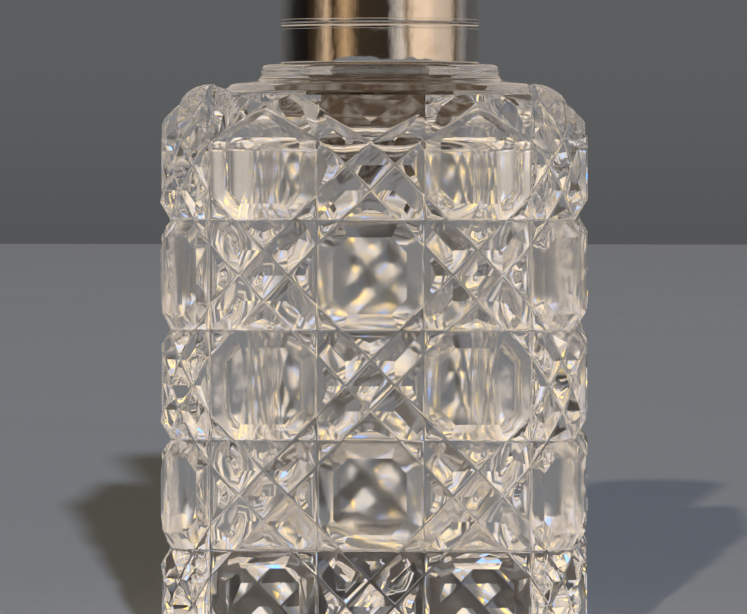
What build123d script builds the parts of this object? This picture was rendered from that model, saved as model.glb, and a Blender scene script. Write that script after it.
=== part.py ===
"""Square cut-crystal scent bottle with a silver collar, a hinged silver lid and a ground glass stopper.

Frame: millimetres, +Z up, origin at the centre of the base, front of the bottle towards -Y,
hinge of the lid at the back.
"""
from build123d import *

from math import cos, radians, sin, sqrt, tan
import os

os.makedirs("parts", exist_ok=True)

# ------------------------------------------------------------------ driving dimensions
SIDE = 56.0                 # width and depth of the square body
CORNER = 7.0                # radius of its rounded corners
COLUMN = 14.0               # spacing of the upright mitre cuts
ROW = 14.4                  # spacing of the level mitre cuts
FIRST_ROW = 15.4            # height of the lowest level cut
ROW_CUTS = 4
EDGE_TOP = 69.4             # height where the shoulder bevel starts
BEVEL = 5.6                 # rise, and inset, of the shoulder bevel
FOOT = 1.0                  # chamfer round the foot

CUT_HALF = 2.2              # half width of a mitre cut at the surface
CUT_DEEP = 1.4              # its depth
CUT_PROUD = 1.0             # how far a cutter stands out of the glass
TWIN = 0.23                 # level offset of twin diagonal cuts from their band, in columns

SIDE_OVERRUN = 1.7          # how many rows past the wall the side's diagonals are still laid out
CORNER_OVERRUN = 0.6        # the same for the corners
SHARE_OVERRUN = 0.05        # how far a corner cutter runs past its own half of the round

EAR_CUT_HALF, EAR_CUT_PROUD = 0.8, 3.0

STAR_RAYS = 12              # full-width cuts of the star under the base
STAR_REACH = 22.0
STAR_HALF = 2.8
STAR_DEEP = 1.8

CAVITY_SIDE = 40.0          # room for the scent
CAVITY_CORNER = 9.0
CAVITY_LOW, CAVITY_TOP = 14.6, 70.0
CAVITY_LOW_ROUND, CAVITY_TOP_ROUND = 4.0, 4.5
THROAT_ROUND = 3.0
THROAT_SINK = 1.0           # how far the throat's cutter reaches down into the cavity

SHOULDER_R, SHOULDER_TOP = 21.2, 77.1
SHOULDER_EDGE, SHOULDER_ROUND, SHOULDER_FALL = 1.6, 1.0, 0.5    # height, run and drop of its softened edge
FLANGE_R, FLANGE_TOP = 16.1, 79.2
NECK_R, NECK_TOP = 11.3, 85.2
BORE_R = 6.4
SOCKET_LOW = 75.2           # where the ground taper of the neck starts
SOCKET_R_LOW, SOCKET_R_TOP = 6.7, 7.4
GROUND_CLEARANCE = 0.04     # between the ground plug and its socket

PLUG_LOW = 75.8
WAIST_R = 5.0
HEAD_LOW, HEAD_GIRDLE, HEAD_RIM, HEAD_TOP = 86.6, 88.8, 89.8, 92.6
HEAD_R, HEAD_TOP_R = 9.2, 5.6
PLUG_EDGE = 0.5
HEAD_SIDES = 8

SILVER_R = 13.5             # outside radius of the collar and the lid
SILVER_WALL = 0.5
RIM_WIRE = 0.62             # height of the wires on both edges of the seam
SEAM, SEAM_GAP = 84.6, 0.12
BEZEL_R, BEZEL_WALL, BEZEL_LOW, BEZEL_TOP = 12.65, 0.45, 83.2, 86.8
LID_TOP = 102.0
LID_CLEARANCE = 0.3         # between the bezel and the lid that closes over it
COLLAR_LIFT = 0.15          # gap under the collar
WIRE_ROUND = 0.2
LID_CROWN = 1.0             # rise of the lid's domed top
LID_ROUND = 2.4             # radius between its wall and its top

KNUCKLE_R, PIN_R = 1.2, 0.55
PIN_CLEARANCE = 0.05
HINGE_HALF = 6.0            # half length of the hinge
LID_KNUCKLE_HALF = 1.95
KNUCKLE_GAP = 0.1
LEAF_HEIGHT, LEAF_THICK = 3.4, 0.75
LEAF_START = 0.7            # how near the straps come to the seam
PIN_PROUD = 0.2             # how far the pin's peened ends stand out

CORNER_SINK = 0.25          # how far the stepped cutters lie inside the corner's round
CORNER_STEP = 45.0          # turn from one stepped cutter to the next, in degrees

half = SIDE / 2
flat = half - CORNER        # half width of the flat part of a side
slope = sqrt(0.5)
BEVEL_END = EDGE_TOP + BEVEL / slope + CUT_HALF     # where cutters on the bevel stop, counted up its slope
STAR_CENTRE = FIRST_ROW + (ROW_CUTS - 0.5) * ROW    # middle of the highest star in the front's middle column
BACK = 180                  # turn of the side whose stars lie behind the front's plain cells
hinge_y = SILVER_R + KNUCKLE_R + PIN_CLEARANCE


# ------------------------------------------------------------------ mitre cutters
def turned(x, y, z, turn):
    """A point or direction turned about the upright axis."""
    return Vector(x, y, z).rotate(Axis.Z, turn)


def mitre(start, end, out, wide=CUT_HALF, proud=CUT_PROUD):
    """V-edged prism between two points of a surface whose outward normal is out."""
    along = (end - start).normalized()
    splay = wide * (CUT_DEEP + proud) / CUT_DEEP
    with BuildPart() as cutter:
        with BuildSketch(Plane(origin=start, x_dir=out.cross(along), z_dir=along)):
            with BuildLine():
                Polyline((0, -CUT_DEEP), (splay, proud), (-splay, proud), close=True)
            make_face()
        extrude(amount=(end - start).length)
    return cutter.part


def diagonals(width, centre, limit):
    """Twin diagonal lines both ways through every second cell of a side, as (position, run) pairs."""
    lines = []
    for lean in (1, -1):
        run = lean * width / ROW
        for band in range(-3, 4):
            for twin in (-TWIN, TWIN):
                cross = centre + (2 * band + twin) * ROW
                if -limit < cross < EDGE_TOP + limit:
                    lines.append((-run * cross, run))
    return lines


def on_wall(x, height, turn):
    """Point of a flat side, from its position along the side and the height."""
    return turned(x, -half, height, turn)


def on_bevel(x, height, turn):
    """The same on the bevel, where height is counted on up the sloping surface."""
    rise = (height - EDGE_TOP) * slope
    return turned(x, rise - half, EDGE_TOP + rise, turn)


def side_cuts(turn):
    """Cutters of one flat side and of the bevel above it."""
    wall_out = turned(0, -1, 0, turn)
    bevel_out = turned(0, -slope, slope, turn)
    edge = flat + CUT_HALF / 2
    uprights = [(COLUMN * place, 0.0) for place in (-1.5, -0.5, 0.5, 1.5)]
    centre = STAR_CENTRE + (ROW if turn == BACK else 0)
    cuts = []
    for at_zero, run in uprights + diagonals(COLUMN, centre, SIDE_OVERRUN * ROW):
        for place, out, low, high in ((on_wall, wall_out, -CUT_HALF, EDGE_TOP + CUT_HALF),
                                      (on_bevel, bevel_out, EDGE_TOP - CUT_HALF, BEVEL_END)):
            if run:
                ends = sorted((side - at_zero) / run for side in (-edge, edge))
                low, high = max(low, ends[0]), min(high, ends[1])
            if high > low:
                ends = [place(at_zero + run * height, height, turn) for height in (low, high)]
                cuts.append(mitre(*ends, out))
    return cuts


def ear_cuts(turn):
    """Steep cutters that part the bevel of one side from the round ears at both its ends."""
    out = turned(0, -slope, slope, turn)
    return [mitre(on_bevel(x, EDGE_TOP - CUT_HALF, turn), on_bevel(x, BEVEL_END, turn), out,
                  wide=EAR_CUT_HALF, proud=EAR_CUT_PROUD) for x in (-flat, flat)]


def corner_cuts(turn):
    """Twin diagonal cutters that step round one rounded corner in two straight lengths."""
    chord = CORNER * tan(radians(CORNER_STEP / 2))
    cuts = []
    for step in (0, 1):
        angle = radians(CORNER_STEP * (step + 0.5))
        out = Vector(sin(angle), -cos(angle), 0)
        tangent = Vector(cos(angle), sin(angle), 0)
        for at_zero, run in diagonals(1.0, STAR_CENTRE, CORNER_OVERRUN * ROW):
            ends = []
            for share in (-SHARE_OVERRUN, 1 + SHARE_OVERRUN):
                height = (0.5 * (step - 1 + share) - at_zero) / run
                foot = Vector(flat, -flat, height) + out * (CORNER - CORNER_SINK)
                ends.append((foot + tangent * chord * (2 * share - 1)).rotate(Axis.Z, turn))
            if max(end.Z for end in ends) < EDGE_TOP + CUT_HALF:
                cuts.append(mitre(*ends, out.rotate(Axis.Z, turn)))
    return cuts


def level_cut(height):
    """V-edged ring right round the body."""
    with BuildPart() as ring:
        with BuildLine(Plane.XY.offset(height)) as path:
            FilletPolyline((-half, -half), (half, -half), (half, half), (-half, half),
                           radius=CORNER, close=True)
        with BuildSketch(Plane(origin=(0, -half, height), x_dir=(0, -1, 0), z_dir=(1, 0, 0))):
            with BuildLine():
                splay = CUT_HALF * (CUT_DEEP + CUT_PROUD) / CUT_DEEP
                Polyline((-CUT_DEEP, 0), (CUT_PROUD, splay), (CUT_PROUD, -splay), close=True)
            make_face()
        sweep(path=path.wire())
    return ring.part


def star_cut(turn):
    """Boat-shaped V cut right across the base, running out to a point at both ends."""
    with BuildPart() as boat:
        for end in (-STAR_REACH, STAR_REACH):
            tip = Vertex(*turned(0, end, 0, turn))
            across = Plane((0, 0, 0), x_dir=turned(1, 0, 0, turn), z_dir=turned(0, -1, 0, turn))
            with BuildSketch(across) as middle:
                with BuildLine():
                    Polyline((-STAR_HALF, 0), (STAR_HALF, 0), (0, STAR_DEEP), close=True)
                make_face()
            loft(sections=[middle.sketch.face(), tip])
    return boat.part


# ------------------------------------------------------------------ glass body
with BuildPart() as blank:
    with BuildSketch():
        RectangleRounded(SIDE, SIDE, CORNER)
    extrude(amount=EDGE_TOP)
    chamfer(blank.faces().sort_by(Axis.Z)[0].edges(), FOOT)
    with BuildSketch(Plane.XY.offset(EDGE_TOP)):
        RectangleRounded(SIDE, SIDE, CORNER)
    extrude(amount=BEVEL, taper=45)

with BuildPart() as cavity:
    with BuildSketch(Plane.XY.offset(CAVITY_LOW)):
        RectangleRounded(CAVITY_SIDE, CAVITY_SIDE, CAVITY_CORNER)
    extrude(amount=CAVITY_TOP - CAVITY_LOW)
    fillet(cavity.faces().sort_by(Axis.Z)[-1].edges(), CAVITY_TOP_ROUND)
    fillet(cavity.faces().sort_by(Axis.Z)[0].edges(), CAVITY_LOW_ROUND)
    with BuildSketch(Plane.XY.offset(CAVITY_TOP - THROAT_SINK)):
        Circle(BORE_R)
    extrude(amount=SOCKET_LOW - CAVITY_TOP + THROAT_SINK)
    fillet(cavity.edges().filter_by(GeomType.CIRCLE).group_by(Axis.Z)[-2], THROAT_ROUND)
    with BuildSketch(Plane.XZ):
        with BuildLine():
            Polyline((0, SOCKET_LOW), (SOCKET_R_LOW, SOCKET_LOW), (SOCKET_R_TOP, NECK_TOP), (0, NECK_TOP),
                     close=True)
        make_face()
    revolve(axis=Axis.Z)

with BuildPart() as glass_body:
    add(blank.part)
    for turn in (0, 90, 180, 270):
        add(side_cuts(turn), mode=Mode.SUBTRACT, clean=False)
        add(corner_cuts(turn), mode=Mode.SUBTRACT, clean=False)
    add([level_cut(FIRST_ROW + row * ROW) for row in range(ROW_CUTS)], mode=Mode.SUBTRACT, clean=False)
    add([star_cut(180 * ray / STAR_RAYS) for ray in range(STAR_RAYS)], mode=Mode.SUBTRACT, clean=False)
    for turn in (0, 90, 180, 270):
        with Locations(Location(turned(flat, flat, EDGE_TOP, turn), (0, 0, turn))):
            Sphere(CORNER, arc_size1=0, arc_size3=90, align=None)
        add(ear_cuts(turn), mode=Mode.SUBTRACT, clean=False)
    with BuildSketch(Plane.XZ):
        with BuildLine():
            Polyline((0, EDGE_TOP), (SHOULDER_R, EDGE_TOP), (SHOULDER_R, SHOULDER_TOP - SHOULDER_EDGE),
                     (SHOULDER_R - SHOULDER_ROUND, SHOULDER_TOP - SHOULDER_FALL), (FLANGE_R, SHOULDER_TOP),
                     (FLANGE_R, FLANGE_TOP), (NECK_R, FLANGE_TOP), (NECK_R, NECK_TOP), (0, NECK_TOP),
                     close=True)
        make_face()
    revolve(axis=Axis.Z, clean=False)
    add(cavity.part, mode=Mode.SUBTRACT, clean=False)

# ------------------------------------------------------------------ ground glass stopper
taper = (SOCKET_R_TOP - SOCKET_R_LOW) / (NECK_TOP - SOCKET_LOW)
plug_r_low = SOCKET_R_LOW + taper * (PLUG_LOW - SOCKET_LOW) - GROUND_CLEARANCE
plug_r_top = SOCKET_R_TOP - GROUND_CLEARANCE

with BuildPart() as glass_stopper:
    with BuildSketch(Plane.XZ):
        with BuildLine():
            Polyline((0, PLUG_LOW), (plug_r_low - PLUG_EDGE, PLUG_LOW), (plug_r_low, PLUG_LOW + PLUG_EDGE),
                     (plug_r_top, NECK_TOP), (WAIST_R, NECK_TOP + PLUG_EDGE), (WAIST_R, HEAD_LOW),
                     (0, HEAD_LOW), close=True)
        make_face()
    revolve(axis=Axis.Z)
    for low, low_r, high, high_r in ((HEAD_LOW, WAIST_R, HEAD_GIRDLE, HEAD_R),
                                     (HEAD_GIRDLE, HEAD_R, HEAD_RIM, HEAD_R),
                                     (HEAD_RIM, HEAD_R, HEAD_TOP, HEAD_TOP_R)):
        with BuildSketch(Plane.XY.offset(low)):
            RegularPolygon(low_r, HEAD_SIDES)
        with BuildSketch(Plane.XY.offset(high)):
            RegularPolygon(high_r, HEAD_SIDES)
        loft(ruled=True)


# ------------------------------------------------------------------ turned silver and its cement
def ring(inner, outer, low, high):
    """Plain ring round the upright axis, as a block of its own."""
    with BuildPart() as band:
        with BuildSketch(Plane.XY.offset(low)):
            Circle(outer)
            Circle(inner, mode=Mode.SUBTRACT)
        extrude(amount=high - low)
    return band


silver_inner = SILVER_R - SILVER_WALL
collar_top, lid_low = SEAM - SEAM_GAP / 2, SEAM + SEAM_GAP / 2
wire_inner = BEZEL_R + LID_CLEARANCE

neck_cement = ring(NECK_R, silver_inner, FLANGE_TOP, BEZEL_LOW)
collar_sleeve = ring(silver_inner, SILVER_R, FLANGE_TOP + COLLAR_LIFT, collar_top - RIM_WIRE)
collar_bezel = ring(BEZEL_R - BEZEL_WALL, BEZEL_R, BEZEL_LOW, BEZEL_TOP)
collar_rim = ring(BEZEL_R, SILVER_R, collar_top - RIM_WIRE, collar_top)
lid_rim = ring(wire_inner, SILVER_R, lid_low, lid_low + RIM_WIRE)

with collar_sleeve:
    fillet(collar_sleeve.edges().group_by(Axis.Z)[0].sort_by(SortBy.LENGTH)[-1], SILVER_WALL / 2)
with collar_bezel:
    chamfer(collar_bezel.edges().group_by(Axis.Z)[-1].sort_by(SortBy.LENGTH)[-1], BEZEL_WALL / 2)
with collar_rim:
    fillet(collar_rim.edges().group_by(Axis.Z)[-1].sort_by(SortBy.LENGTH)[-1], WIRE_ROUND)
with lid_rim:
    fillet(lid_rim.edges().group_by(Axis.Z)[0].sort_by(SortBy.LENGTH)[-1], WIRE_ROUND)

with BuildPart() as lid_shell:
    for radius, top, mode in ((SILVER_R, LID_TOP, Mode.ADD),
                              (silver_inner, LID_TOP - SILVER_WALL, Mode.SUBTRACT)):
        with BuildSketch(Plane.XZ):
            with BuildLine():
                wall = Line((radius, lid_low + RIM_WIRE), (radius, top - LID_CROWN))
                crown = ThreePointArc(wall @ 1, (radius / 2, top - LID_CROWN / 4), (0, top))
                Polyline(crown @ 1, (0, lid_low + RIM_WIRE), wall @ 0)
            make_face()
        revolve(axis=Axis.Z, mode=mode)
    inner_edge, outer_edge = lid_shell.edges().filter_by(GeomType.CIRCLE).group_by(Axis.Z)[1:3]
    fillet(outer_edge, LID_ROUND)
    fillet(inner_edge, LID_ROUND - SILVER_WALL)


# ------------------------------------------------------------------ hinge at the back
def knuckle(low, high, bore):
    """Tube on the hinge line between two positions along it."""
    with BuildPart() as tube:
        with BuildSketch(Plane(origin=(low, hinge_y, SEAM), x_dir=(0, 1, 0), z_dir=(1, 0, 0))):
            Circle(KNUCKLE_R)
            Circle(bore, mode=Mode.SUBTRACT)
        extrude(amount=high - low)
    return tube


def leaf(half_width, low, high, clearings):
    """Curved strap on the silver wall, cleared round the hinge line by (half length, radius) cylinders."""
    with BuildPart() as strap:
        with BuildSketch(Plane.XY.offset(low)):
            Circle(SILVER_R + LEAF_THICK)
            Circle(SILVER_R, mode=Mode.SUBTRACT)
            with Locations((0, SILVER_R)):
                Rectangle(2 * half_width, SILVER_R, mode=Mode.INTERSECT)
        extrude(amount=high - low)
        for reach, radius in clearings:
            with BuildSketch(Plane(origin=(-reach, hinge_y, SEAM), x_dir=(0, 1, 0), z_dir=(1, 0, 0))):
                Circle(radius)
            extrude(amount=2 * reach, mode=Mode.SUBTRACT)
    return strap


lid_knuckle_end = LID_KNUCKLE_HALF + KNUCKLE_GAP
hinge_knuckle_lid = knuckle(-LID_KNUCKLE_HALF, LID_KNUCKLE_HALF, PIN_R + PIN_CLEARANCE)
hinge_knuckle_left = knuckle(-HINGE_HALF, -lid_knuckle_end, PIN_R)
hinge_knuckle_right = knuckle(lid_knuckle_end, HINGE_HALF, PIN_R)
own_knuckles = (HINGE_HALF + PIN_PROUD, KNUCKLE_R)
lid_knuckle_room = (lid_knuckle_end, KNUCKLE_R + 3 * PIN_CLEARANCE)
hinge_leaf_lid = leaf(LID_KNUCKLE_HALF, SEAM + LEAF_START, SEAM + LEAF_HEIGHT, [own_knuckles])
hinge_leaf_collar = leaf(HINGE_HALF, SEAM - LEAF_HEIGHT, SEAM - LEAF_START, [own_knuckles, lid_knuckle_room])

with BuildPart() as hinge_pin:
    reach = HINGE_HALF + PIN_PROUD
    with BuildSketch(Plane(origin=(-reach, hinge_y, SEAM), x_dir=(0, 1, 0), z_dir=(1, 0, 0))):
        Circle(PIN_R)
    extrude(amount=2 * reach)
    fillet(hinge_pin.edges().filter_by(GeomType.CIRCLE), PIN_PROUD)

pieces = {
    "glass_body": glass_body, "glass_stopper": glass_stopper, "neck_cement": neck_cement,
    "collar_sleeve": collar_sleeve, "collar_bezel": collar_bezel, "collar_rim": collar_rim,
    "lid_shell": lid_shell, "lid_rim": lid_rim, "hinge_knuckle_lid": hinge_knuckle_lid,
    "hinge_knuckle_left": hinge_knuckle_left, "hinge_knuckle_right": hinge_knuckle_right,
    "hinge_leaf_lid": hinge_leaf_lid, "hinge_leaf_collar": hinge_leaf_collar, "hinge_pin": hinge_pin,
}
for name, piece in pieces.items():
    piece.part.label = name
    export_step(piece.part, f"parts/{name}.step")
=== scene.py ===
"""Cut-crystal scent bottle: looks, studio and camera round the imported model."""

import math

import bmesh
import bpy
from mathutils import Matrix, Vector


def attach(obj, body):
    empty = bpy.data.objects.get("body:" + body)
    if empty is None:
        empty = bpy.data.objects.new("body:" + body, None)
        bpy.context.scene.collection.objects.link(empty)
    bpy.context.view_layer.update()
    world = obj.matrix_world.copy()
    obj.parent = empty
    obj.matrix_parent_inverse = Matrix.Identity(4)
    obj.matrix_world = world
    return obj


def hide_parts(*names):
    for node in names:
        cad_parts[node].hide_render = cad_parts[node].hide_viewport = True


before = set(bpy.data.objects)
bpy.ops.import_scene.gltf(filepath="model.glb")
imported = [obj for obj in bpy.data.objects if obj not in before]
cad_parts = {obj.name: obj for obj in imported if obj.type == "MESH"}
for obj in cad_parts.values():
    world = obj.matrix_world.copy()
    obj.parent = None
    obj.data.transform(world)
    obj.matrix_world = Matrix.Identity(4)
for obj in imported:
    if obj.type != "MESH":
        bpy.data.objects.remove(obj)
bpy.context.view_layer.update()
MM = 0.001
TURN_STEPS = 192                            # points round a turned piece

# ------------------------------------------------------------ the bottle's driving sizes, in millimetres
SIDE, CORNER, COLUMN, ROW = 56.0, 7.0, 14.0, 14.4
SIDE_COLUMNS, FIRST_ROW, ROW_CUTS = 3, 15.4, 4
EDGE_TOP, BEVEL, FOOT = 69.4, 5.6, 1.0
CUT_HALF, CUT_DEEP, TWIN = 2.2, 1.4, 0.23
TIP_HALF, TIP_SLOPE = 0.26, 0.2             # the groove's tip, rounded by the edge of the cutting wheel
DIAGONALS = range(-4, 3)                    # pairs of slanting cuts, counted from the star's centre
STAR_RAYS, STAR_REACH, STAR_HALF, STAR_DEEP = 12, 22.0, 2.8, 1.8
SHOULDER_R, SHOULDER_TOP = 21.2, 77.1
SHOULDER_EDGE, SHOULDER_ROUND, SHOULDER_FALL = 1.6, 1.0, 0.5
FLANGE_R, FLANGE_TOP = 16.1, 79.2
NECK_R, NECK_TOP = 11.3, 85.2
BORE_R, SOCKET_LOW, SOCKET_R_LOW, SOCKET_R_TOP = 6.4, 75.2, 6.7, 7.4
CAVITY_SIDE, CAVITY_CORNER, CAVITY_LOW, CAVITY_TOP = 40.0, 9.0, 14.6, 70.0
CAVITY_LOW_ROUND, CAVITY_TOP_ROUND, THROAT_ROUND = 2.0, 2.5, 3.0
SILVER_R, SILVER_IN, SEAM, GAP, WIRE = 13.5, 13.0, 84.6, 0.06, 0.62
BEZEL_IN, BEZEL_R, BEZEL_LOW, BEZEL_TOP = 12.2, 12.65, 83.2, 86.8
LID_TOP, CROWN, LID_ROUND, LIP_IN = 102.0, 1.0, 2.4, 12.95
BACK = 2                                    # quarter whose stars lie behind the front's plain cells

CORNER_STEPS, DOME_STEPS = 12, 8            # how finely the corner and the ear above it are bent
EDGE_SHARP = 23.6                           # degrees from which an edge of the cut glass is left sharp

TIP_DEEP = CUT_DEEP - TIP_HALF * (CUT_DEEP / CUT_HALF - TIP_SLOPE)
half = SIDE / 2
flat = half - CORNER
slope = math.sqrt(0.5)
corner_start = SIDE_COLUMNS * COLUMN
quarter_length = corner_start + COLUMN      # one side and one corner
bevel_end = EDGE_TOP + BEVEL / slope        # height counted up the surface, where the bevel meets the top
strip_end = bevel_end + 1.0                 # and where the cut strip ends on the top
ring_half = half - BEVEL - 1.0              # half width of the rounded square that the strip ends on
top_z = EDGE_TOP + BEVEL
silver_wall = SILVER_R - SILVER_IN

ON_LINE, SLIVER, LEAST_GAIN = 1e-7, 1e-6, 1e-5   # distance, area and depth below which nothing is cut
PLACES, NEAR = 4, 1e-4                      # decimals kept of a point, and the distance that goes with them
BESIDE, PAST_END, MERGE = 3e-4, 1e-3, 2e-3  # distances: point beside an edge, past its ends, doubles


# ------------------------------------------------------------------ cut pattern on the unrolled surface
class Facet:
    """Convex patch of the unrolled surface with its cut depth as a linear function (a, b, c) of (s, t)."""

    def __init__(self, points, depth):
        self.points, self.depth = points, depth


def value(line, point):
    return line[0] * point[0] + line[1] * point[1] + line[2]


def clip(points, line):
    """The part of a convex polygon where the line's value is above zero."""
    kept = []
    for here, after in zip(points, points[1:] + points[:1]):
        v_here, v_after = value(line, here), value(line, after)
        if v_here >= -ON_LINE:
            kept.append(here)
        if v_here * v_after < 0 and min(abs(v_here), abs(v_after)) > ON_LINE:
            share = v_here / (v_here - v_after)
            kept.append((here[0] + share * (after[0] - here[0]), here[1] + share * (after[1] - here[1])))
    return kept


def area(points):
    total = sum(a[0] * b[1] - b[0] * a[1] for a, b in zip(points, points[1:] + points[:1]))
    return abs(total) / 2 if len(points) > 2 else 0.0


def negated(line):
    return tuple(-v for v in line)


def split(facets, line):
    """Every facet cut in two along a line."""
    result = []
    for facet in facets:
        parts = [clip(facet.points, line), clip(facet.points, negated(line))]
        parts = [part for part in parts if area(part) > SLIVER]
        result += [Facet(part, facet.depth) for part in parts] if len(parts) == 2 else [facet]
    return result


def cut(facets, line):
    """Cuts a V groove along a line with a unit normal; where grooves cross, the deeper flank wins."""
    steep = CUT_DEEP / CUT_HALF
    flanks = ((TIP_HALF, steep, CUT_DEEP), (0.0, TIP_SLOPE, TIP_DEEP))
    result = []
    for facet in facets:
        pieces = []
        touched = False
        rest = [facet.points]
        for side in (1, -1):
            away = tuple(side * v for v in line)
            for start, steepness, deepest in flanks:
                beyond = (away[0], away[1], away[2] - start)
                depth = (-steepness * away[0], -steepness * away[1], deepest - steepness * away[2])
                gain = tuple(f - g for f, g in zip(depth, facet.depth))
                left = []
                for points in rest:
                    near = clip(points, beyond)
                    if area(near) < SLIVER:
                        left.append(points)
                        continue
                    far = clip(points, negated(beyond))
                    if area(far) > SLIVER:
                        left.append(far)
                    won = clip(near, gain)
                    if area(won) > SLIVER and max(value(gain, p) for p in won) > LEAST_GAIN:
                        touched = True
                        pieces.append(Facet(won, depth))
                        near = clip(near, negated(gain))
                    if area(near) > SLIVER:
                        pieces.append(Facet(near, facet.depth))
                rest = left
        pieces += [Facet(points, facet.depth) for points in rest]
        result += pieces if touched else [facet]
    return result


def pattern(star_t=FIRST_ROW + (ROW_CUTS - 0.5) * ROW):
    """Facets of one side and one corner, column by column from the side's left edge."""
    facets = [Facet([(0, 0), (quarter_length, 0), (quarter_length, strip_end), (0, strip_end)], (0, 0, 0))]
    for column in range(SIDE_COLUMNS + 2):
        facets = cut(facets, (1, 0, -column * COLUMN))
    for row in range(ROW_CUTS):
        facets = cut(facets, (0, 1, -(FIRST_ROW + row * ROW)))
    star_s = SIDE_COLUMNS * COLUMN / 2
    for lean in (1, -1):
        rise = lean * ROW / COLUMN
        size = math.hypot(rise, 1)
        for band in DIAGONALS:
            for twin in (-TWIN, TWIN):
                start = star_t + (2 * band + twin) * ROW - rise * star_s
                facets = cut(facets, (-rise / size, 1 / size, -start / size))
    for fold in (FOOT, EDGE_TOP, bevel_end):
        facets = split(facets, (0, 1, -fold))
    return facets


def curved(facets):
    """Splits the corner's facets finely enough to bend them round it."""
    corner = [f for f in facets if min(p[0] for p in f.points) > corner_start - NEAR]
    others = [f for f in facets if min(p[0] for p in f.points) <= corner_start - NEAR]
    for step in range(1, CORNER_STEPS):
        corner = split(corner, (1, 0, -(corner_start + COLUMN * step / CORNER_STEPS)))
    for edge in (corner_start + CUT_HALF, quarter_length - CUT_HALF):
        corner = split(corner, (1, 0, -edge))
    for step in range(1, DOME_STEPS):
        corner = split(corner, (0, 1, -(EDGE_TOP + (bevel_end - EDGE_TOP) * step / DOME_STEPS)))
    return others + corner


def seam_heights(*patterns):
    """Heights of every facet corner on the line where one quarter of the body meets the next."""
    return {round(t, PLACES) for facets in patterns for f in facets for s, t in f.points
            if s < NEAR or s > quarter_length - NEAR}


def weld(facets, seams):
    """Vertex list and face loops, with every neighbour's corner added where it lies on an edge."""
    index, points, loops = {}, [], []
    for facet in facets:
        loop = []
        for s, t in facet.points:
            key = (round(s, PLACES), round(t, PLACES))
            if key not in index:
                index[key] = len(points)
                points.append((*key, max(0.0, value(facet.depth, (s, t)))))
            if not loop or loop[-1] != index[key]:
                loop.append(index[key])
        if len(loop) > 1 and loop[0] == loop[-1]:
            loop.pop()
        if len(loop) > 2:
            loops.append(loop)
    for t in seams:
        for s in (0.0, quarter_length):
            if (s, t) not in index:
                index[(s, t)] = len(points)
                points.append((s, t, TIP_DEEP))
    cells = {}
    for number, (s, t, _) in enumerate(points):
        cells.setdefault((int(s), int(t)), []).append(number)
    full = [[n for a, b in zip(loop, loop[1:] + loop[:1]) for n in (a, *between(points, cells, a, b))]
            for loop in loops]
    return points, full


def between(points, cells, a, b):
    """Numbers of the points that lie on the edge from point a to point b, in order."""
    (s0, t0, _), (s1, t1, _) = points[a], points[b]
    run = math.hypot(s1 - s0, t1 - t0)
    found = []
    for cell_s in range(int(min(s0, s1)) - 1, int(max(s0, s1)) + 2):
        for cell_t in range(int(min(t0, t1)) - 1, int(max(t0, t1)) + 2):
            for n in cells.get((cell_s, cell_t), ()):
                ds, dt = points[n][0] - s0, points[n][1] - t0
                along = (ds * (s1 - s0) + dt * (t1 - t0)) / run
                across = abs(ds * (t1 - t0) - dt * (s1 - s0)) / run
                if across < BESIDE and PAST_END < along < run - PAST_END:
                    found.append((along, n))
    return [n for _, n in sorted(found)]


# ------------------------------------------------------------------ wrapping the pattern round the body
MITRE = math.tan(math.pi / 8)               # how the displaced edge between wall and bevel moves along them
EASE = 2.0                                  # length over which that shift fades
JUNCTION = CUT_HALF / COLUMN                # share of the corner column that the cuts beside the ear take
RING_CORNER, RING_EDGE = 5.0, 14.0          # rounded square on the top: corner radius, and where it narrows


def side_point(x, t, depth):
    """Point of the front side or of its bevel, displaced inwards by the cut's depth."""
    if t <= FOOT:
        return x, -half + (FOOT - t) + depth, t
    near = max(0.0, 1 - abs(t - EDGE_TOP) / EASE)
    if t <= EDGE_TOP:
        return x, -half + depth, t - MITRE * depth * near
    along = t - EDGE_TOP + MITRE * depth * near
    return x, -half + (along + depth) * slope, EDGE_TOP + (along - depth) * slope


def corner_point(u, t, depth):
    """Point of the rounded corner, or of the ear above it, for a share u of the way round."""
    phi = u * math.pi / 2
    if t <= EDGE_TOP:
        radial = CORNER - depth - max(0.0, FOOT - t)
        z = t
    else:
        theta = min(1.0, (t - EDGE_TOP) / (bevel_end - EDGE_TOP)) * math.pi / 2
        sunk = CORNER - depth * math.cos(theta)
        radial, z = sunk * math.cos(theta), EDGE_TOP + sunk * math.sin(theta)
    return flat + radial * math.sin(phi), -flat - radial * math.cos(phi), z


def ring_point(s):
    """Point of the rounded square on the top where the strip ends."""
    inner = ring_half - RING_CORNER
    if s > corner_start:
        phi = (s - corner_start) / COLUMN * math.pi / 2
        return inner + RING_CORNER * math.sin(phi), -inner - RING_CORNER * math.cos(phi), top_z
    x = s - flat
    beyond = max(0.0, abs(x) - RING_EDGE) * (inner - RING_EDGE) / (flat - RING_EDGE)
    return math.copysign(min(abs(x), RING_EDGE) + beyond, x), -ring_half, top_z


def wrapped(s, t, depth):
    """Where a point of the unrolled pattern lies on the front side and the corner at its right."""
    if t > bevel_end:
        low, high = wrapped(s, bevel_end, depth), ring_point(s)
        share = (t - bevel_end) / (strip_end - bevel_end)
        return tuple(a + share * (b - a) for a, b in zip(low, high))
    if s <= corner_start:
        return side_point(s - flat, t, depth)
    u = (s - corner_start) / COLUMN
    bend = corner_point(u, t, depth)
    share = min(1.0, min(u, 1 - u) / JUNCTION)
    if t <= EDGE_TOP - EASE or share == 1.0:
        return bend
    share = share * share * (3 - 2 * share)
    straight = side_point(0, t, depth)
    if u < 0.5:
        straight = (flat + straight[0], straight[1], straight[2])
    else:
        straight = (-straight[1], -flat, straight[2])
    return tuple(a + share * (b - a) for a, b in zip(straight, bend))


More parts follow.
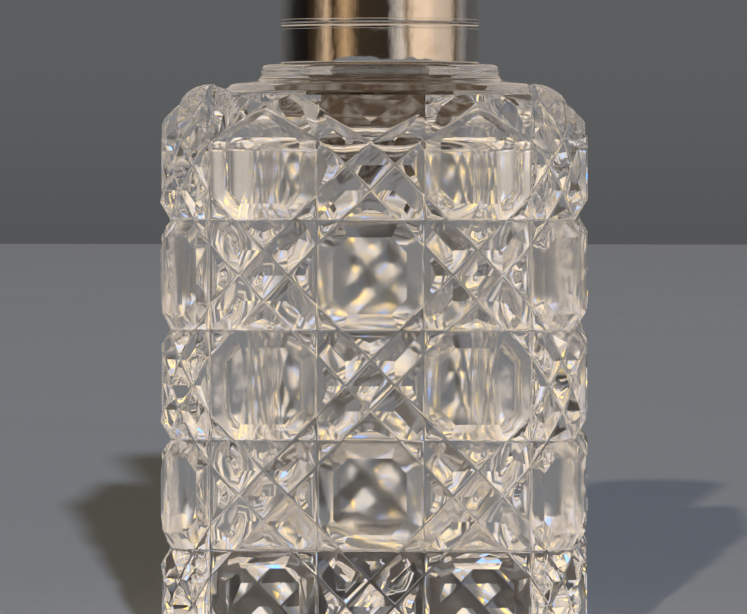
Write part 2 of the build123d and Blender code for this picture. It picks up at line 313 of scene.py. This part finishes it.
def square_radius(angle, size, corner):
    """Distance from the axis to a rounded square's outline, in the direction of an angle."""
    fold = abs((angle + math.pi / 4) % (math.pi / 2) - math.pi / 4)
    inner = size - corner
    if size * math.tan(fold) <= inner:
        return size / math.cos(fold)
    along = inner * (math.cos(fold) + math.sin(fold))
    return along + math.sqrt(max(0.0, along * along - 2 * inner * inner + corner * corner))


# ------------------------------------------------------------------ mesh helpers
def finished(name, bm, body, cad_nodes, sharp=None, scale=MM):
    """Object from a mesh, riding on its body in place of its CAD nodes; sharp is an angle in degrees."""
    bmesh.ops.transform(bm, matrix=Matrix.Scale(scale, 4), verts=bm.verts)
    bmesh.ops.recalc_face_normals(bm, faces=bm.faces)
    for face in bm.faces:
        face.smooth = True
    if sharp:
        limit = math.radians(sharp)
        for edge in bm.edges:
            if len(edge.link_faces) == 2 and edge.calc_face_angle(0.0) > limit:
                edge.smooth = False
    mesh = bpy.data.meshes.new(name)
    bm.to_mesh(mesh)
    bm.free()
    obj = bpy.data.objects.new(name, mesh)
    bpy.context.scene.collection.objects.link(obj)
    if body:
        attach(obj, body)
        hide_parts(*cad_nodes)
    return obj


def bridge(bm, low, high):
    """Quads between two closed loops of as many vertices."""
    for n in range(len(low)):
        m = (n + 1) % len(low)
        bm.faces.new((low[n], low[m], high[m], high[n]))


def fan(bm, loop, tip):
    """Triangles from a closed loop of vertices to one vertex."""
    for n in range(len(loop)):
        bm.faces.new((loop[n], loop[(n + 1) % len(loop)], tip))


def rings(bm, first, loops):
    """Quads from a closed loop of vertices through loops of points; gives the vertices of the last one."""
    last = first
    for loop in loops:
        verts = [bm.verts.new(point) for point in loop]
        bridge(bm, last, verts)
        last = verts
    return last


def around(radius, z):
    """Closed loop of points at one height; the radius may be a function of the angle."""
    reach = radius if callable(radius) else lambda a: radius
    angles = [2 * math.pi * n / TURN_STEPS for n in range(TURN_STEPS)]
    return [(reach(a) * math.cos(a), reach(a) * math.sin(a), z) for a in angles]


def rounded(profile, radius_of, steps=5):
    """A profile of (radius, height) points with the corners named in radius_of rounded off."""
    result = []
    for n, point in enumerate(profile):
        radius = radius_of.get(n)
        if not radius:
            result.append(point)
            continue
        here = Vector(point)
        before = Vector(profile[n - 1]) - here
        after = Vector(profile[(n + 1) % len(profile)]) - here
        turn = before.angle(after)
        reach = min(radius / math.tan(turn / 2), before.length * 0.49, after.length * 0.49)
        a, b = here + before.normalized() * reach, here + after.normalized() * reach
        for k in range(steps + 1):
            share = k / steps
            result.append(tuple(a * (1 - share) ** 2 + here * 2 * share * (1 - share) + b * share ** 2))
    return result


def rippled(radius, z, ripple):
    """Radius as a function of the angle, with the slight unevenness of hand-worked silver."""
    return lambda a: radius + ripple * (math.sin(3 * a + z) + 0.6 * math.sin(8 * a + 2.3 * z))


def lathe(bm, profile, ripple):
    """Turned surface from (radius, height) points, closed at a zero radius or back to its start."""
    loops = [around(rippled(radius, z, ripple), z) for radius, z in profile if radius]
    first = [bm.verts.new(point) for point in loops[0]]
    last = rings(bm, first, loops[1:])
    poles = [(loop, z) for loop, (radius, z) in ((first, profile[0]), (last, profile[-1])) if not radius]
    for loop, z in poles:
        fan(bm, loop, bm.verts.new((0, 0, z)))
    if not poles:
        bridge(bm, last, first)


# ------------------------------------------------------------------ materials
class Nodes:
    """A node tree and short helpers that add to it."""

    def __init__(self, tree):
        self.tree = tree

    def add(self, kind, **inputs):
        node = self.tree.nodes.new(kind)
        for key, item in inputs.items():
            if key in node.inputs:
                self.feed(item, node.inputs[key])
            elif hasattr(node, key):
                setattr(node, key, item)
        return node

    def feed(self, item, socket):
        if isinstance(item, bpy.types.NodeSocket):
            self.tree.links.new(item, socket)
        else:
            socket.default_value = item

    def spread(self, number, low, high, to_low=0.0, to_high=1.0, kind="LINEAR"):
        """Maps a range of numbers onto another, clamped."""
        node = self.add("ShaderNodeMapRange", interpolation_type=kind)
        for socket, item in zip(node.inputs, (number, low, high, to_low, to_high)):
            self.feed(item, socket)
        return node.outputs["Result"]

    def ease(self, number, low, high, to_low=0.0, to_high=1.0):
        """Like spread, with soft ends."""
        return self.spread(number, low, high, to_low, to_high, "SMOOTHSTEP")

    def mix(self, share, first, second):
        """First colour where the share is 0, second where it is 1."""
        node = self.add("ShaderNodeMix", data_type="RGBA")
        self.feed(share, node.inputs[0])
        self.feed(first, node.inputs[6])
        self.feed(second, node.inputs[7])
        return node.outputs[2]

    def math(self, operation, first, second=0.0):
        node = self.add("ShaderNodeMath", operation=operation)
        self.feed(first, node.inputs[0])
        self.feed(second, node.inputs[1])
        return node.outputs[0]


class Painter(Nodes):
    """A material with one Principled shader; sizes and heights in millimetres, a bump's depth in metres."""

    def __init__(self, name, **sockets):
        self.material = bpy.data.materials.new(name)
        self.material.use_nodes = True
        super().__init__(self.material.node_tree)
        self.shader = self.tree.nodes["Principled BSDF"]
        self.set(**sockets)
        self.place = self.add("ShaderNodeTexCoord").outputs["Object"]
        self.parts = self.add("ShaderNodeSeparateXYZ", Vector=self.place).outputs

    def noise(self, scale, detail=3.0, stretch=(1, 1, 1), roughness=0.5):
        """Noise whose patches have the given size, drawn out along each axis by stretch."""
        scales = tuple(1 / (MM * scale * v) for v in stretch)
        mapping = self.add("ShaderNodeMapping", Vector=self.place, Scale=scales)
        noise = self.add("ShaderNodeTexNoise", Vector=mapping.outputs["Vector"], Scale=1.0, Detail=detail,
                         Roughness=roughness)
        return noise.outputs["Fac"]

    def by_height(self, low, high, to_low, to_high):
        """A number that changes between two heights above the base."""
        return self.spread(self.parts["Z"], low * MM, high * MM, to_low, to_high)

    def inside(self, reach, low, high):
        """1 in the square room of that half width between two heights, 0 outside it."""
        sides = [self.math("ABSOLUTE", self.parts[axis]) for axis in "XY"]
        tests = [self.math("LESS_THAN", self.math("MAXIMUM", *sides), reach * MM),
                 self.math("GREATER_THAN", self.parts["Z"], low * MM),
                 self.math("LESS_THAN", self.parts["Z"], high * MM)]
        return self.math("MULTIPLY", self.math("MULTIPLY", tests[0], tests[1]), tests[2])

    def bump(self, height, distance, normal=None):
        node = self.add("ShaderNodeBump", Height=height, Distance=distance, Strength=1.0)
        if normal:
            self.feed(normal, node.inputs["Normal"])
        self.feed(node.outputs["Normal"], self.shader.inputs["Normal"])
        return node.outputs["Normal"]

    def set(self, **items):
        for socket, item in items.items():
            self.feed(item, self.shader.inputs[socket.replace("_", " ")])


CRYSTAL_IOR, STOPPER_IOR = 1.56, 1.53
SHADE_IOR = 1.02                          # keeps the painted throat shade from mirroring
THROAT_SHADE_COLOUR = (0.055, 0.033, 0.016, 1)          # painted shade in the throat: dark brown standing in for the dark reflection of the bore and collar
THROAT_SHADE_OUT, THROAT_SHADE_DOWN, THROAT_SHADE_UP = 3.4, 0.2, 1.3   # reach of the painted shade from the bore, the ceiling and the socket
PLUG_SHADE_FULL, PLUG_SHADE_NONE = 77.0, 78.0       # heights: painted shade below the first, none above the second


def crystal():
    """Polished lead crystal: faint waves left by hand polishing, light wear, a film inside, and painted
    shade in the throat.
    """
    glass = Painter("cut_crystal", Roughness=0.0)
    clear = glass.mix(glass.noise(30, detail=1.0), (0.985, 0.975, 0.955, 1), (0.995, 0.99, 0.98, 1))
    # painted shade: a dark brown patch in the throat, nearly opaque and unmirroring, stands in for the dark
    # reflection of the bore and collar
    throat = glass.inside(BORE_R + THROAT_SHADE_OUT, CAVITY_TOP - THROAT_SHADE_DOWN, SOCKET_LOW + THROAT_SHADE_UP)
    throat_shade = glass.math("MULTIPLY", throat, glass.spread(glass.noise(2.6, detail=4.0), 0.34, 0.54, 0.80, 1.0))
    glass.set(Base_Color=glass.mix(throat_shade, clear, THROAT_SHADE_COLOUR),
              Transmission_Weight=glass.spread(throat_shade, 0.0, 1.0, 1.0, 0.05),
              IOR=glass.spread(throat_shade, 0.0, 0.8, CRYSTAL_IOR, SHADE_IOR))
    wear = glass.spread(glass.noise(1.4, detail=4.0), 0.60, 0.78, 0.0, 0.05)
    inside = glass.inside(CAVITY_SIDE / 2 + 1.0, CAVITY_LOW - 1.0, SOCKET_LOW - 0.1)
    film = glass.spread(glass.noise(7.0, detail=3.0), 0.3, 0.7, 0.07, 0.16)
    glass.set(Roughness=glass.math("MAXIMUM", wear, glass.math("MULTIPLY", inside, film)))
    polish = glass.math("MULTIPLY", glass.noise(2.2, detail=1.0), 0.05)
    blown = glass.math("MULTIPLY", glass.math("MULTIPLY", inside, glass.noise(6.0, detail=1.5)), 0.6)
    glass.bump(glass.math("ADD", polish, blown), 0.00025)
    return glass.material


def ground_glass():
    """The stopper: clear head, plug ground matt where it fits the neck, and painted dark shade at its end.
    """
    glass = Painter("ground_stopper")
    ground = glass.by_height(NECK_TOP - 0.1, NECK_TOP + 0.3, 1.0, 0.0)
    grain = glass.noise(0.25, detail=3.0)
    turns = glass.noise(1.1, detail=3.0, stretch=(4, 4, 0.5))
    rough = glass.math("ADD", glass.spread(grain, 0.3, 0.7, 0.10, 0.22),
                       glass.spread(turns, 0.35, 0.65, 0.0, 0.25))
    # painted shade: the plug's end is painted dark brown, nearly opaque and unmirroring, standing in for the
    # dark reflection of the bore and collar
    dark_share = glass.by_height(PLUG_SHADE_FULL, PLUG_SHADE_NONE, 1.0, 0.0)
    matt = glass.mix(dark_share, (0.93, 0.93, 0.91, 1), (0.045, 0.028, 0.014, 1))
    glass.set(Roughness=glass.math("MULTIPLY", ground, rough),
              Base_Color=glass.mix(ground, (0.985, 0.98, 0.965, 1), matt),
              Transmission_Weight=glass.spread(dark_share, 0.0, 1.0, 1.0, 0.2),
              IOR=glass.spread(dark_share, 0.2, 0.8, STOPPER_IOR, SHADE_IOR))
    glass.bump(glass.math("MULTIPLY", ground, grain), 0.00003)
    return glass.material


def silver(name, clean=(0.95, 0.93, 0.90, 1), stained=(0.62, 0.54, 0.44, 1)):
    """Old polished metal: fine scratches, soft dents and folds, tarnish in patches and in the crevices."""
    metal = Painter(name, Metallic=1.0)
    patches = metal.noise(5.0, detail=5.0, stretch=(1, 1, 0.7), roughness=0.62)
    dark_share = metal.spread(patches, 0.52, 0.74, 0.0, 0.45)
    from_seam = metal.math("ABSOLUTE", metal.math("SUBTRACT", metal.parts["Z"], SEAM * MM))
    seam = metal.spread(from_seam, 0.0, 0.9 * MM, 0.35, 0.0)
    foot = metal.by_height(FLANGE_TOP + 0.1, FLANGE_TOP + 0.6, 0.5, 0.0)
    dirt = metal.math("MAXIMUM", metal.math("MAXIMUM", dark_share, seam), foot)
    metal.set(Base_Color=metal.mix(dirt, clean, stained))
    scratches = metal.noise(0.12, detail=2.0, stretch=(14, 14, 1))
    fine = metal.noise(0.6, detail=6.0)
    rough = metal.math("ADD", metal.spread(fine, 0.35, 0.75, 0.025, 0.07),
                       metal.spread(scratches, 0.60, 0.75, 0.0, 0.07))
    metal.set(Roughness=metal.math("ADD", rough, metal.math("MULTIPLY", dirt, 0.10)))
    folds = metal.noise(1.5, detail=3.0, stretch=(1, 1, 7))
    dents = metal.bump(metal.math("ADD", metal.noise(3.0, detail=2.0, stretch=(1, 1, 1.4)),
                                  metal.math("MULTIPLY", folds, 0.35)), 0.00006)
    metal.bump(scratches, 0.0000008, dents)
    return metal.material


def plaster():
    """Brown cement that holds the collar on the neck."""
    cement = Painter("cement", Roughness=0.85)
    grain = cement.noise(0.8, detail=6.0)
    cement.set(Base_Color=cement.mix(grain, (0.045, 0.028, 0.015, 1), (0.20, 0.135, 0.08, 1)))
    cement.bump(cement.noise(0.5, detail=5.0), 0.00012)
    return cement.material


glass_look, stopper_look, cement_look = crystal(), ground_glass(), plaster()
silver_look = silver("silver")
gilt_look = silver("gilt", (0.95, 0.72, 0.34, 1), (0.60, 0.40, 0.17, 1))


# ------------------------------------------------------------------ cut glass body
def cavity_profile():
    """(inset or None, radius, height) from the bottom of the socket to the bottom of the cavity."""
    throat, top_round, low_round = THROAT_ROUND, CAVITY_TOP_ROUND, CAVITY_LOW_ROUND
    turn = [math.pi / 2 * k / 8 for k in range(9)]
    profile = [(None, BORE_R, SOCKET_LOW)]
    profile += [(None, BORE_R + throat * (1 - math.cos(a)), CAVITY_TOP + throat * (1 - math.sin(a)))
                for a in turn]
    profile += [(top_round * (1 - math.sin(a)), 0, CAVITY_TOP - top_round * (1 - math.cos(a))) for a in turn]
    steps = 12
    wall_low, wall_high = CAVITY_LOW + low_round, CAVITY_TOP - top_round
    profile += [(0, 0, wall_high + (wall_low - wall_high) * k / steps) for k in range(1, steps)]
    profile += [(low_round * (1 - math.cos(a)), 0, CAVITY_LOW + low_round * (1 - math.sin(a))) for a in turn]
    return profile


def hollow_radius(inset, radius, z):
    """Radius of the inside: round in the throat, and square below it with the waves of blown glass."""
    if inset is None:
        return radius
    fade = min(1.0, (CAVITY_TOP - z) / 8.0)
    return lambda a: (square_radius(a, CAVITY_SIDE / 2 - inset, max(CAVITY_CORNER - inset, 1.0))
                      + fade * 0.12 * (math.sin(2 * a + 0.16 * z) + 0.7 * math.sin(5 * a - 0.31 * z)))


def boundary(bm, z):
    """Open edges at a height."""
    return [e for e in bm.edges if len(e.link_faces) == 1 and all(abs(v.co.z - z) < 0.01 for v in e.verts)]


def cut_sides(bm):
    """The four sides and corners with their ears; the back has its stars in the other cells."""
    usual = curved(pattern())
    offset = curved(pattern(FIRST_ROW + (ROW_CUTS + 0.5) * ROW))
    edge = corner_start - NEAR
    back = [f for f in offset if max(p[0] for p in f.points) < edge + 2 * NEAR]
    back += [f for f in usual if min(p[0] for p in f.points) > edge]
    seams = seam_heights(usual, back)
    usual, back = weld(usual, seams), weld(back, seams)
    for quarter in range(4):
        points, loops = back if quarter == BACK else usual
        turn = Matrix.Rotation(quarter * math.pi / 2, 3, "Z")
        verts = [bm.verts.new(turn @ Vector(wrapped(*point))) for point in points]
        for loop in loops:
            bm.faces.new([verts[n] for n in loop])
    bmesh.ops.remove_doubles(bm, verts=bm.verts, dist=MERGE)


def star_base(bm):
    """The underside with its cut star."""
    spread = math.pi / (2 * STAR_RAYS)
    valley = STAR_HALF / (math.sin(spread) + STAR_HALF / STAR_REACH)
    star = []
    for ray in range(4 * STAR_RAYS):
        reach = valley if ray % 2 else STAR_REACH
        star.append(bm.verts.new((reach * math.cos(ray * spread), reach * math.sin(ray * spread), 0)))
    outline = boundary(bm, 0)
    fan(bm, star, bm.verts.new((0, 0, STAR_DEEP)))
    outline += [bm.edges.get((vert, star[(k + 1) % len(star)])) for k, vert in enumerate(star)]
    bmesh.ops.triangle_fill(bm, use_beauty=True, edges=outline)


def neck_and_hollow(bm):
    """Shoulder, flange, neck, socket, bore and cavity, from the top of the sides to the cavity's bottom."""
    outline = boundary(bm, top_z)
    disc = [(SHOULDER_R, top_z), (SHOULDER_R, SHOULDER_TOP - SHOULDER_EDGE),
            (SHOULDER_R - SHOULDER_ROUND, SHOULDER_TOP - SHOULDER_FALL), (FLANGE_R, SHOULDER_TOP),
            (FLANGE_R, FLANGE_TOP), (NECK_R, FLANGE_TOP), (NECK_R, NECK_TOP),
            (SOCKET_R_TOP, NECK_TOP), (SOCKET_R_LOW, SOCKET_LOW)]
    disc = rounded(disc, {1: 0.8, 2: 1.4, 3: 1.2, 4: 0.9, 5: 0.8, 6: 0.4, 7: 0.25})
    first = [bm.verts.new(point) for point in around(*disc[0])]
    ring = [bm.edges.new((vert, first[(k + 1) % len(first)])) for k, vert in enumerate(first)]
    bmesh.ops.triangle_fill(bm, use_beauty=True, edges=outline + ring)
    outside = [around(*point) for point in disc[1:]]
    inside = [around(hollow_radius(*point), point[2]) for point in cavity_profile()]
    fan(bm, rings(bm, first, outside + inside), bm.verts.new((0, 0, CAVITY_LOW)))


def cut_glass():
    """Closed mesh of the whole glass body."""
    bm = bmesh.new()
    cut_sides(bm)
    star_base(bm)
    neck_and_hollow(bm)
    open_edges = sum(len(e.link_faces) != 2 for e in bm.edges)
    print("cut glass:", len(bm.verts), "points,", len(bm.faces), "faces,", open_edges, "open edges")
    return bm


body_obj = finished("cut_glass_body", cut_glass(), "bottle", ["glass_body"], EDGE_SHARP)
body_obj.data.materials.append(glass_look)
even = body_obj.modifiers.new("flat_facets", "WEIGHTED_NORMAL")
even.keep_sharp = True

# ------------------------------------------------------------------ turned silver
def crown_profile(radius, top, corner):
    """Wall, rounded corner and low dome of the lid, from the bottom of the wall to the middle of the top."""
    wall_low = SEAM + GAP + WIRE
    wall_steps, dome_steps = 6, 12
    profile = [(radius, wall_low + (top - CROWN - wall_low) * k / wall_steps) for k in range(wall_steps)]
    shares = [1 - k / dome_steps for k in range(dome_steps + 1)]
    profile += [(radius * share, top - CROWN * share ** 2) for share in shares]
    return rounded(profile, {wall_steps: corner}, steps=8)


collar_low, collar_top = FLANGE_TOP + 0.15, SEAM - GAP - WIRE
lid_low, lip_top = SEAM + GAP, SEAM + GAP + WIRE
# name: CAD node, body, ripple, profile of (radius, height)
silver_pieces = {
    "silver_lid_shell": ("lid_shell", "lid", 0.012,
                         crown_profile(SILVER_IN, LID_TOP - silver_wall, LID_ROUND - silver_wall)[::-1]
                         + crown_profile(SILVER_R, LID_TOP, LID_ROUND)),
    "silver_lid_rim": ("lid_rim", "lid", 0.012, rounded(
        [(LIP_IN, lip_top), (SILVER_R, lip_top), (SILVER_R, lid_low), (LIP_IN, lid_low)],
        {1: 0.08, 2: 0.26, 3: 0.1})),
    "silver_collar_rim": ("collar_rim", "bottle", 0.012, rounded(
        [(BEZEL_R, SEAM - GAP), (SILVER_R, SEAM - GAP), (SILVER_R, collar_top), (BEZEL_R, collar_top)],
        {1: 0.26, 2: 0.08})),
    "silver_collar_sleeve": ("collar_sleeve", "bottle", 0.02, rounded(
        [(SILVER_IN, collar_top), (SILVER_R, collar_top), (SILVER_R, 82.3), (SILVER_R, 80.8),
         (SILVER_R, collar_low), (SILVER_IN, collar_low)], {4: 0.3, 5: 0.1})),
    "silver_collar_bezel": ("collar_bezel", "bottle", 0.0, rounded(
        [(BEZEL_IN, BEZEL_LOW), (BEZEL_R, BEZEL_LOW), (BEZEL_R, BEZEL_TOP), (BEZEL_IN, BEZEL_TOP)],
        {2: 0.3, 3: 0.12})),
}
inside_lid = Vector((0, 0, 92 * MM))
for name, (node_name, body, ripple, profile) in silver_pieces.items():
    bm = bmesh.new()
    lathe(bm, profile, ripple)
    piece = finished(name, bm, body, [node_name], 50)
    piece.data.materials.append(silver_look)
    if body == "lid":
        piece.data.materials.append(gilt_look)
        for face in piece.data.polygons:                # gilt where the face looks into the lid
            face.material_index = int(face.normal.dot(face.center - inside_lid) < 0)


def dress(node_name, look, width=0.0, angle=30):
    """New material for a CAD node, and soft edges where it has sharp ones."""
    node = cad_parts[node_name]
    for slot in node.material_slots:
        slot.material = look
    if width:
        soft = node.modifiers.new("soft_edges", "BEVEL")
        soft.width, soft.segments = width * MM, 2
        soft.limit_method, soft.angle_limit = "ANGLE", math.radians(angle)
        soft.harden_normals = True


dress("glass_stopper", stopper_look, 0.15, 14)
dress("neck_cement", cement_look)
for node_name in ("hinge_knuckle_lid", "hinge_knuckle_left", "hinge_knuckle_right", "hinge_leaf_lid",
                  "hinge_leaf_collar", "hinge_pin"):
    dress(node_name, silver_look, 0.1, 40)

# ------------------------------------------------------------------ studio
def pale_table():
    """Table top just under the bottle, with a softly rounded far edge against the plain room; in metres."""
    bm = bmesh.new()
    wide, front, back, drop, bend, film = 0.75, -0.9, 2.55, 0.3, 0.03, 0.0001
    turn = [math.pi / 2 * k / 8 for k in range(9)]
    profile = [(front, -drop), (front, -film)]
    profile += [(back + bend * math.sin(a), bend * (math.cos(a) - 1) - film) for a in turn]
    profile += [(back + bend, -drop)]
    rows = [[bm.verts.new((x, y, z)) for x in (-wide, wide)] for y, z in profile]
    for (a, b), (c, d) in zip(rows, rows[1:]):
        bm.faces.new((a, b, d, c))
    table = finished("studio_table", bm, None, (), 30, scale=1.0)
    paint = Painter("studio_paint", Roughness=0.8, Specular_IOR_Level=0.0)
    top = paint.mix(paint.noise(160, detail=4.0), (0.196, 0.190, 0.198, 1), (0.214, 0.208, 0.216, 1))
    # painted sheen: the far strip of the table is painted lighter and warmer, standing in for its sheen at a
    # grazing view
    far = paint.spread(paint.parts["Y"], back - 0.45, back)
    paint.set(Base_Color=paint.mix(far, top, (0.215, 0.200, 0.205, 1)))
    paint.bump(paint.noise(3, detail=5.0), 0.0001)
    table.data.materials.append(paint.material)


def soft_light(name, azimuth, elevation, strength, softness, colour):
    """Far, softened light aimed at the bottle; azimuth 0 is in front and positive to the right."""
    data = bpy.data.lights.new(name, "SUN")
    data.energy, data.angle, data.color = strength, math.radians(softness), colour
    obj = bpy.data.objects.new(name, data)
    bpy.context.scene.collection.objects.link(obj)
    a, e = math.radians(azimuth), math.radians(elevation)
    away = Vector((math.sin(a) * math.cos(e), -math.cos(a) * math.cos(e), math.sin(e)))
    obj.location = away * 2.0
    obj.rotation_euler = away.to_track_quat("Z", "Y").to_euler()
    obj.visible_camera = obj.visible_glossy = obj.visible_transmission = False


BANDS = (                                   # azimuth from the front, brightness and warmth of the room there
    (-180, 0.12, 0.0), (-140, 0.09, 0.0), (-112, 0.015, 0.0), (-92, 0.008, 0.5), (-80, 0.04, 1.0),
    (-70, 0.20, 0.8), (-61, 0.60, 0.85), (-52, 0.05, 1.1), (-38, 0.50, 1.0), (-22, 0.04, 0.9),
    (12, 0.03, 0.7), (20, 0.40, 0.3), (27, 0.62, 0.4), (34, 0.24, 0.8), (43, 0.80, 0.7),
    (58, 0.86, 0.7), (72, 0.60, 0.6), (91, 0.50, 0.6), (99, 0.12, 0.8), (111, 0.26, 0.2),
    (125, 0.09, 0.0), (180, 0.12, 0.0),
)
HAZE = (0.63, 0.53, 0.455, 1)               # the softly lit room above the bands
LOW_HAZE = (0.50, 0.47, 0.43, 1)            # and below them, past the table's edges
HAZE_SHARE = 0.85                           # how far the bands give way to both
BRIGHT_WARM, BRIGHT_COOL = (1.28, 1.06, 0.76, 1), (0.93, 0.90, 0.94, 1)   # patches above, seen in the glass
FLASH_WARM, FLASH_COOL = (3.2, 2.1, 0.35, 1), (0.5, 1.2, 3.0, 1)          # and small coloured glints
INNER_HAZE = (0.62, 0.555, 0.495, 1)        # what softens the bands for light already in the glass
THROUGH_GLASS = (4.2, 3.9, 3.5, 1)          # light gathered by the glass onto the table under it
DIM_DIFFUSE = 0.90                          # share of the room's light kept off matt surfaces
WALL_LOW, WALL_HIGH = (0.088, 0.09, 0.095, 1), (0.108, 0.111, 0.116, 1)   # plain wall seen by the camera


def band_colours(room, parts):
    """The upright bands, as a colour by azimuth."""
    azimuth = room.math("ARCTAN2", parts["X"], room.math("MULTIPLY", parts["Y"], -1.0))
    turned = room.math("ADD", room.math("DIVIDE", azimuth, 2 * math.pi), 0.5)
    ramp = room.add("ShaderNodeValToRGB", Fac=turned)
    stops = ramp.color_ramp.elements
    stops.remove(stops[-1])
    for n, (angle, level, warm) in enumerate(BANDS):
        place = 0.5 + angle / 360
        stop = stops.new(place) if n else stops[0]
        stop.position = place
        stop.color = (level, level * (1 - 0.35 * warm), level * (1 - 0.65 * warm), 1)
    return ramp.outputs["Color"]


def sky_colours(room, in_glass):
    """The room above the bands: plain for the silver, patchy for light in the glass."""
    spots, tints, glints = (room.add("ShaderNodeTexNoise", Scale=scale, Detail=detail).outputs["Fac"]
                            for scale, detail in ((3.2, 1.5), (5.0, 0.0), (15.0, 0.0)))
    bright = room.mix(room.ease(tints, 0.42, 0.60), BRIGHT_COOL, BRIGHT_WARM)
    patchy = room.mix(room.ease(spots, 0.36, 0.64), HAZE, bright)
    patchy = room.mix(room.ease(glints, 0.66, 0.72), patchy, FLASH_WARM)
    patchy = room.mix(room.ease(glints, 0.31, 0.25), patchy, FLASH_COOL)
    return room.mix(in_glass, HAZE, patchy)


def surroundings():
    """Room seen by the silver and the glass: upright bands round the horizon, hazy light above and below."""
    world = bpy.data.worlds.new("studio_room")
    bpy.context.scene.world = world
    world.cycles.sampling_method = "NONE"
    world.use_nodes = True
    room = Nodes(world.node_tree)
    direction = room.add("ShaderNodeTexCoord").outputs["Generated"]
    parts = room.add("ShaderNodeSeparateXYZ", Vector=direction).outputs
    ray = room.add("ShaderNodeLightPath").outputs
    in_glass = room.math("MINIMUM", ray["Transmission Depth"], 1.0)

    haze = room.mix(room.ease(parts["Z"], -0.05, 0.05), LOW_HAZE, sky_colours(room, in_glass))
    sideways = room.ease(room.math("ABSOLUTE", parts["X"]), 0.60, 0.95, 0.15, 0.90)
    softened = room.mix(room.math("MULTIPLY", in_glass, sideways), band_colours(room, parts), INNER_HAZE)
    away = room.ease(room.math("ABSOLUTE", parts["Z"]), 0.07, 0.16, 0.0, HAZE_SHARE)
    seen = room.mix(away, softened, haze)

    seen = room.mix(room.math("MULTIPLY", ray["Is Diffuse Ray"], DIM_DIFFUSE), seen, (0, 0, 0, 1))
    bounced = room.math("MINIMUM", ray["Diffuse Depth"], 1.0)
    seen = room.mix(room.math("MULTIPLY", bounced, ray["Is Transmission Ray"]), seen, THROUGH_GLASS)
    wall = room.mix(room.ease(parts["Z"], -0.03, 0.02), WALL_LOW, WALL_HIGH)
    room.feed(room.mix(ray["Is Camera Ray"], seen, wall), room.tree.nodes["Background"].inputs["Color"])


pale_table()
surroundings()
soft_light("cool_window", 8.6, 13.6, 8.0, 1.3, (0.85, 1.0, 1.19))
soft_light("warm_lamp", -6.8, 16.8, 3.7, 0.9, (1.03, 1.0, 0.78))

# ------------------------------------------------------------------ camera
DISTANCE, TURN, EYE = 0.700, math.radians(2.7), 0.070   # metres, and how far round to the right
SENSOR, LENS = 36.0, 249.0
AIM_LEFT, AIM_HEIGHT = 0.00088, 0.0464
camera_data = bpy.data.cameras.new("camera")
camera_data.sensor_width, camera_data.lens, camera_data.sensor_fit = SENSOR, LENS, "HORIZONTAL"
camera_data.clip_start, camera_data.clip_end = 0.01, 50
camera = bpy.data.objects.new("camera", camera_data)
bpy.context.scene.collection.objects.link(camera)
bpy.context.scene.camera = camera
camera.location = (DISTANCE * math.sin(TURN), -DISTANCE * math.cos(TURN), EYE)
aim = Vector((-AIM_LEFT * math.cos(TURN), -AIM_LEFT * math.sin(TURN), AIM_HEIGHT))
camera.rotation_euler = (camera.location - aim).to_track_quat("Z", "Y").to_euler()

bpy.context.scene.view_settings.view_transform = "Standard"
bpy.context.scene.cycles.max_bounces = 32
bpy.context.scene.cycles.transmission_bounces = 32
bpy.context.scene.cycles.glossy_bounces = 24
